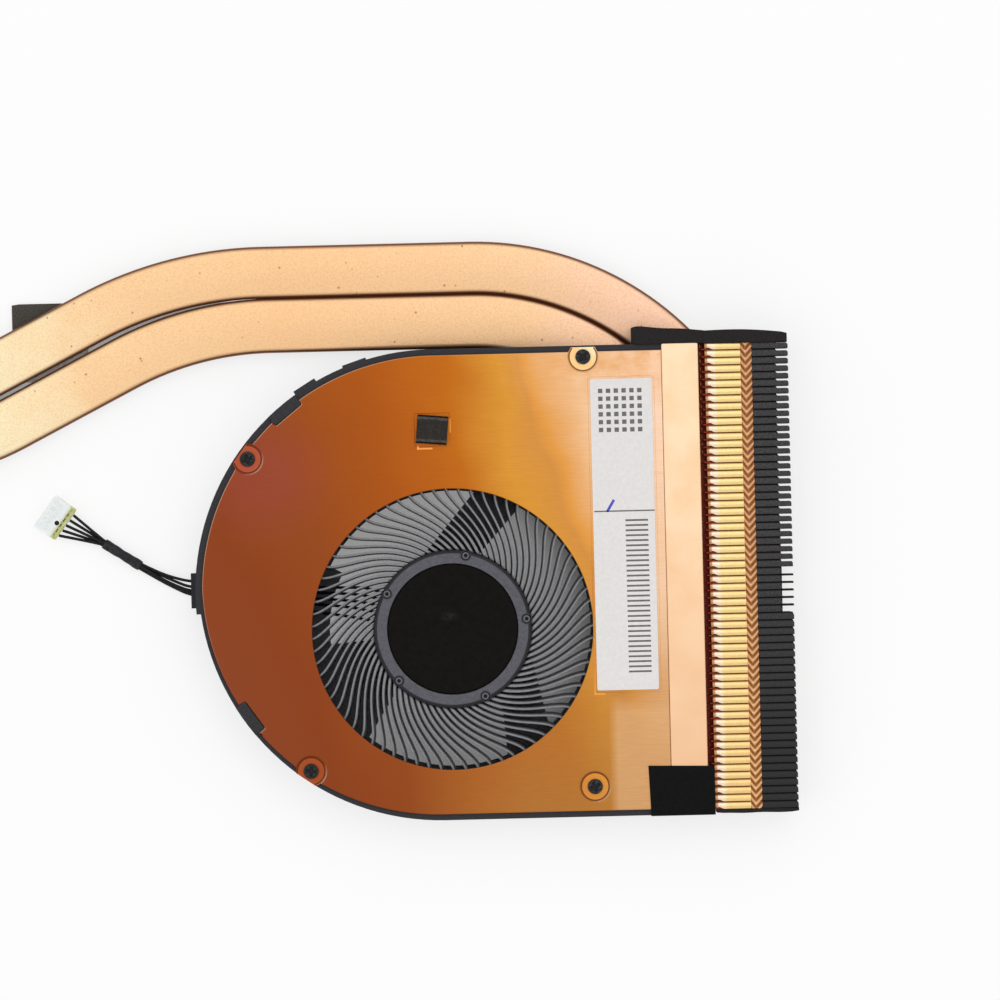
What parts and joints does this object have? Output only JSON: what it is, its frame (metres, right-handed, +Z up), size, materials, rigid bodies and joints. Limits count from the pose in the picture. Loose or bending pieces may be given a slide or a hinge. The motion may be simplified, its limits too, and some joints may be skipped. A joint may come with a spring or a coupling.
{
  "type": "laptop cooling fan with heat pipes",
  "caption": "Flat blower with a round inlet and thin S-shaped blades, copper-coloured cover, flattened heat pipes to a cold plate, a finned outlet and a lead with a plug.",
  "frame": {"origin": "on the impeller's axis, at the underside of the fan's base sheet", "axes": "+X from the cold plate to the finned outlet, +Y to the side where the heat pipes pass the fan, +Z up along the impeller's axis, out of the top inlet"},
  "size_m": [0.1782, 0.0919, 0.0085],
  "materials": {
    "cover_copper": "warm copper lacquer, satin",
    "base_black": "black coated sheet, matte",
    "frame_black": "black moulded plastic",
    "screw_black": "black oxide",
    "label_white": "white matte paper",
    "pad_dark": "dark felt-like foam",
    "strip_copper": "pale copper foil, satin",
    "tape_black": "black adhesive tape",
    "foam_black": "black open foam",
    "impeller_grey": "dark grey moulded plastic",
    "cup_black": "dark coated steel",
    "magnet_grey": "pressed magnet",
    "shaft_steel": "ground steel",
    "thrust_white": "low-friction plastic",
    "bearing_bronze": "sintered bronze",
    "stator_steel": "stacked steel sheet",
    "coil_copper": "enamelled copper wire",
    "board_green": "solder-masked board",
    "chip_black": "moulded chip case",
    "wire_black": "black wire insulation",
    "plug_white": "natural nylon",
    "terminal_tin": "tinned contact",
    "pipe_copper": "satin copper with darker handling marks",
    "fin_copper": "thin copper sheet, exhaust half coated black",
    "plate_copper": "milled copper",
    "bar_steel": "spring steel"
  },
  "bodies": {
    "base": {"bottom_cover": "base_black", "fan_frame": "frame_black", "top_cover": "cover_copper", "cover_screws": "screw_black", "label": "label_white", "cover_pad": "pad_dark", "outlet_strip": "strip_copper", "corner_tape": "tape_black", "foam_strip_upper": "foam_black", "foam_strip_lower": "foam_black", "thrust_pad": "thrust_white", "sleeve_bearing": "bearing_bronze", "stator_core": "stator_steel", "stator_coils": "coil_copper", "motor_board": "board_green", "driver_chip": "chip_black", "cable_sleeve": "tape_black", "connector_housing": "plug_white", "connector_terminals": "terminal_tin", "heat_pipe_lower": "pipe_copper", "heat_pipe_upper": "pipe_copper", "fin_stack": "fin_copper", "cold_plate": "plate_copper", "spring_bar": "bar_steel", "support_pad": "foam_black", "lead_wire_1": "wire_black", "lead_wire_2": "wire_black", "lead_wire_3": "wire_black", "lead_wire_4": "wire_black", "lead_wire_5": "wire_black"},
    "rotor": {"impeller": "impeller_grey", "rotor_cup": "cup_black", "magnet_ring": "magnet_grey", "shaft": "shaft_steel"}
  },
  "joints": [
    {"name": "impeller_spin", "type": "hinge", "parent": "base", "child": "rotor", "pos_m": [0, 0, 0.004], "axis": [0, 0, 1], "continuous": true}
  ]
}
